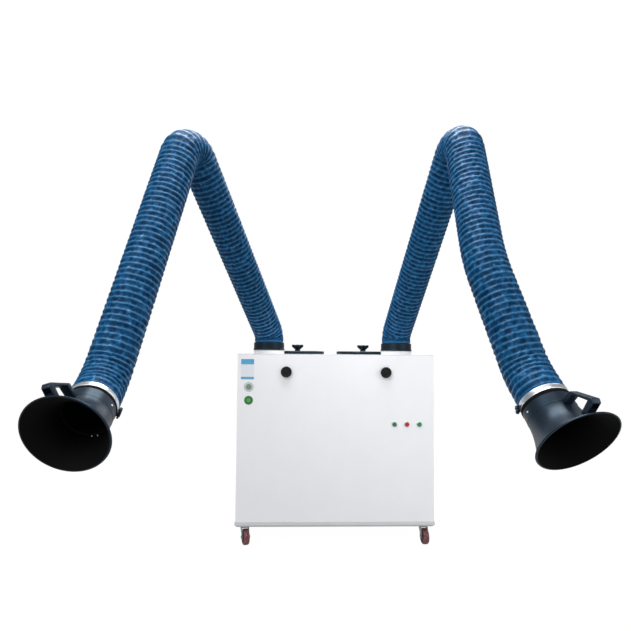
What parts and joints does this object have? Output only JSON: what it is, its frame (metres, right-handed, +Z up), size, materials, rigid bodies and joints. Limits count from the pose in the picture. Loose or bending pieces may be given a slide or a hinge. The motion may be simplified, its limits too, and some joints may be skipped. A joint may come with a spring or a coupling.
{
  "type": "mobile fume extractor",
  "caption": "Mobile fume extractor: white cabinet on castors with blue jointed hose arms, black trumpet hoods with handles, round filter lids and push buttons.",
  "frame": {"origin": "on the floor under the middle of the cabinet", "axes": "+Z up, -Y to the front with the controls, +X to the right seen from the front"},
  "size_m": [1.8888, 2.0603, 2.1248],
  "materials": {
    "white_sheet": "fine satin powder coat",
    "frame_steel": "primed",
    "zinc": "zinc plated",
    "black_lid": "satin black powder coat",
    "black_plastic": "moulded, fine grain",
    "hose_blue": "coated fabric, slight sheen",
    "clamp_steel": "bright stainless",
    "skeleton_black": "black powder coat",
    "pin_steel": "turned steel",
    "red_tread": "polyurethane",
    "bezel_chrome": "bright",
    "green_lens": "clear tinted",
    "red_cap": "moulded",
    "green_cap": "moulded",
    "gasket_rubber": "foam rubber",
    "filter_media": "pleated fleece",
    "bearing_plastic": "acetal",
    "galvanised": "galvanised",
    "motor_paint": "hammered paint",
    "fan_alloy": "cast"
  },
  "bodies": {
    "cabinet": {"base_tray": "white_sheet", "corner_frame": "frame_steel", "side_panel_left": "white_sheet", "side_panel_right": "white_sheet", "back_panel": "white_sheet", "top_panel": "white_sheet", "arm_spigots": "white_sheet", "swivel_bearings": "bearing_plastic", "lid_gaskets": "gasket_rubber", "filter_cartridges": "filter_media", "filter_rods": "zinc", "partition_plate": "galvanised", "fan_housing": "galvanised", "fan_motor": "motor_paint", "dust_tray": "galvanised", "cable_gland": "black_plastic", "castor_plates": "zinc"},
    "front_panel": {"front_panel": "white_sheet", "control_box": "galvanised", "control_bezels": "bezel_chrome", "pilot_lens": "green_lens"},
    "stop_button": {"stop_button": "red_cap"},
    "start_button": {"start_button": "green_cap"},
    "impeller": {"impeller": "fan_alloy"},
    "panel_knob_left": {"panel_knob_left": "black_plastic"},
    "filter_lid_left": {"filter_lid_left": "black_lid"},
    "lid_knob_left": {"lid_knob_left": "black_plastic"},
    "panel_knob_right": {"panel_knob_right": "black_plastic"},
    "filter_lid_right": {"filter_lid_right": "black_lid"},
    "lid_knob_right": {"lid_knob_right": "black_plastic"},
    "castor_fork_front_left": {"castor_fork_front_left": "zinc"},
    "castor_wheel_front_left": {"castor_wheel_front_left": "red_tread"},
    "castor_fork_front_right": {"castor_fork_front_right": "zinc"},
    "castor_wheel_front_right": {"castor_wheel_front_right": "red_tread"},
    "castor_fork_rear_left": {"castor_fork_rear_left": "zinc"},
    "castor_wheel_rear_left": {"castor_wheel_rear_left": "red_tread"},
    "castor_fork_rear_right": {"castor_fork_rear_right": "zinc"},
    "castor_wheel_rear_right": {"castor_wheel_rear_right": "red_tread"},
    "turntable_left": {"turntable_left": "black_plastic"},
    "lower_arm_left": {"lower_arm_left": "skeleton_black", "arm_pins_left": "pin_steel", "hose_left": "hose_blue"},
    "forearm_left": {"forearm_left": "skeleton_black"},
    "wrist_left": {"wrist_fork_left": "skeleton_black", "tilt_pin_left": "pin_steel"},
    "hood_left": {"hood_bracket_left": "skeleton_black", "hood_left": "black_plastic", "hood_handle_left": "black_plastic", "hose_clamp_left": "clamp_steel"},
    "turntable_right": {"turntable_right": "black_plastic"},
    "lower_arm_right": {"lower_arm_right": "skeleton_black", "arm_pins_right": "pin_steel", "hose_right": "hose_blue"},
    "forearm_right": {"forearm_right": "skeleton_black"},
    "wrist_right": {"wrist_fork_right": "skeleton_black", "tilt_pin_right": "pin_steel"},
    "hood_right": {"hood_bracket_right": "skeleton_black", "hood_right": "black_plastic", "hood_handle_right": "black_plastic", "hose_clamp_right": "clamp_steel"}
  },
  "joints": [
    {"name": "front_panel_pull", "type": "slide", "parent": "cabinet", "child": "front_panel", "axis": [0, -1, 0], "range_m": [0, 0.12]},
    {"name": "stop_press", "type": "slide", "parent": "front_panel", "child": "stop_button", "axis": [0, 1, 0], "range_m": [0, 0.004], "stiffness_N_per_m": 800, "springref_m": -0.002},
    {"name": "start_press", "type": "slide", "parent": "front_panel", "child": "start_button", "axis": [0, 1, 0], "range_m": [0, 0.004], "stiffness_N_per_m": 800, "springref_m": -0.002},
    {"name": "impeller_spin", "type": "hinge", "parent": "cabinet", "child": "impeller", "pos_m": [0, 0.01, 0.4], "axis": [0, 0, 1], "continuous": true},
    {"name": "panel_knob_turn_left", "type": "hinge", "parent": "front_panel", "child": "panel_knob_left", "pos_m": [-0.279, -0.325, 0.958], "axis": [0, -1, 0], "continuous": true},
    {"name": "lid_lift_left", "type": "slide", "parent": "cabinet", "child": "filter_lid_left", "axis": [0, 0, 1], "range_m": [0, 0.12]},
    {"name": "lid_knob_turn_left", "type": "hinge", "parent": "filter_lid_left", "child": "lid_knob_left", "pos_m": [-0.213, 0.142, 1.077], "axis": [0, 0, 1], "continuous": true},
    {"name": "panel_knob_turn_right", "type": "hinge", "parent": "front_panel", "child": "panel_knob_right", "pos_m": [0.279, -0.325, 0.958], "axis": [0, -1, 0], "continuous": true},
    {"name": "lid_lift_right", "type": "slide", "parent": "cabinet", "child": "filter_lid_right", "axis": [0, 0, 1], "range_m": [0, 0.12]},
    {"name": "lid_knob_turn_right", "type": "hinge", "parent": "filter_lid_right", "child": "lid_knob_right", "pos_m": [0.213, 0.142, 1.077], "axis": [0, 0, 1], "continuous": true},
    {"name": "castor_swivel_front_left", "type": "hinge", "parent": "cabinet", "child": "castor_fork_front_left", "pos_m": [-0.504, -0.255, 0.107], "axis": [0, 0, 1], "continuous": true},
    {"name": "castor_roll_front_left", "type": "hinge", "parent": "castor_fork_front_left", "child": "castor_wheel_front_left", "pos_m": [-0.49581, -0.28178, 0.043], "axis": [0.9563, 0.2924, 0], "continuous": true},
    {"name": "castor_swivel_front_right", "type": "hinge", "parent": "cabinet", "child": "castor_fork_front_right", "pos_m": [0.504, -0.255, 0.107], "axis": [0, 0, 1], "continuous": true},
    {"name": "castor_roll_front_right", "type": "hinge", "parent": "castor_fork_front_right", "child": "castor_wheel_front_right", "pos_m": [0.50595, -0.28293, 0.043], "axis": [0.9976, 0.0698, 0], "continuous": true},
    {"name": "castor_swivel_rear_left", "type": "hinge", "parent": "cabinet", "child": "castor_fork_rear_left", "pos_m": [-0.504, 0.255, 0.107], "axis": [0, 0, 1], "continuous": true},
    {"name": "castor_roll_rear_left", "type": "hinge", "parent": "castor_fork_rear_left", "child": "castor_wheel_rear_left", "pos_m": [-0.49581, 0.28178, 0.043], "axis": [-0.9563, 0.2924, 0], "continuous": true},
    {"name": "castor_swivel_rear_right", "type": "hinge", "parent": "cabinet", "child": "castor_fork_rear_right", "pos_m": [0.504, 0.255, 0.107], "axis": [0, 0, 1], "continuous": true},
    {"name": "castor_roll_rear_right", "type": "hinge", "parent": "castor_fork_rear_right", "child": "castor_wheel_rear_right", "pos_m": [0.50595, 0.28293, 0.043], "axis": [-0.9976, 0.0698, 0], "continuous": true},
    {"name": "swivel_left", "type": "hinge", "parent": "cabinet", "child": "turntable_left", "pos_m": [-0.388, -0.072, 1.057], "axis": [0, 0, -1], "range_deg": [-12, 110]},
    {"name": "shoulder_left", "type": "hinge", "parent": "turntable_left", "child": "lower_arm_left", "pos_m": [-0.388, -0.072, 1.179], "axis": [-0.9178, 0.3971, 0], "range_deg": [-15, 35], "deforming": ["hose_left"]},
    {"name": "elbow_left", "type": "hinge", "parent": "lower_arm_left", "child": "forearm_left", "pos_m": [-0.73424, -0.87211, 1.99483], "axis": [-0.9178, 0.3971, 0], "range_deg": [-12, 60], "deforming": ["hose_left"]},
    {"name": "wrist_turn_left", "type": "hinge", "parent": "forearm_left", "child": "wrist_left", "pos_m": [-0.92603, -1.31532, 0.95445], "axis": [-0.1672, -0.3864, -0.907], "range_deg": [-60, 60], "deforming": ["hose_left"]},
    {"name": "hood_tilt_left", "type": "hinge", "parent": "wrist_left", "child": "hood_left", "pos_m": [-0.92603, -1.31532, 0.95445], "axis": [-0.9551, -0.1646, 0.2462], "range_deg": [-37, 22], "deforming": ["hose_left"]},
    {"name": "swivel_right", "type": "hinge", "parent": "cabinet", "child": "turntable_right", "pos_m": [0.388, -0.072, 1.057], "axis": [0, 0, 1], "range_deg": [-12, 110]},
    {"name": "shoulder_right", "type": "hinge", "parent": "turntable_right", "child": "lower_arm_right", "pos_m": [0.388, -0.072, 1.179], "axis": [-0.9857, -0.1685, 0], "range_deg": [-15, 35], "deforming": ["hose_right"]},
    {"name": "elbow_right", "type": "hinge", "parent": "lower_arm_right", "child": "forearm_right", "pos_m": [0.5275, -0.88809, 2.03934], "axis": [-0.9857, -0.1685, 0], "range_deg": [-12, 60], "deforming": ["hose_right"]},
    {"name": "wrist_turn_right", "type": "hinge", "parent": "forearm_right", "child": "wrist_right", "pos_m": [0.60948, -1.36769, 1.00065], "axis": [0.0715, -0.4181, -0.9056], "range_deg": [-60, 60], "deforming": ["hose_right"]},
    {"name": "hood_tilt_right", "type": "hinge", "parent": "wrist_right", "child": "hood_right", "pos_m": [0.60948, -1.36769, 1.00065], "axis": [-0.9771, -0.2117, 0.0206], "range_deg": [-18, 41], "deforming": ["hose_right"]}
  ]
}
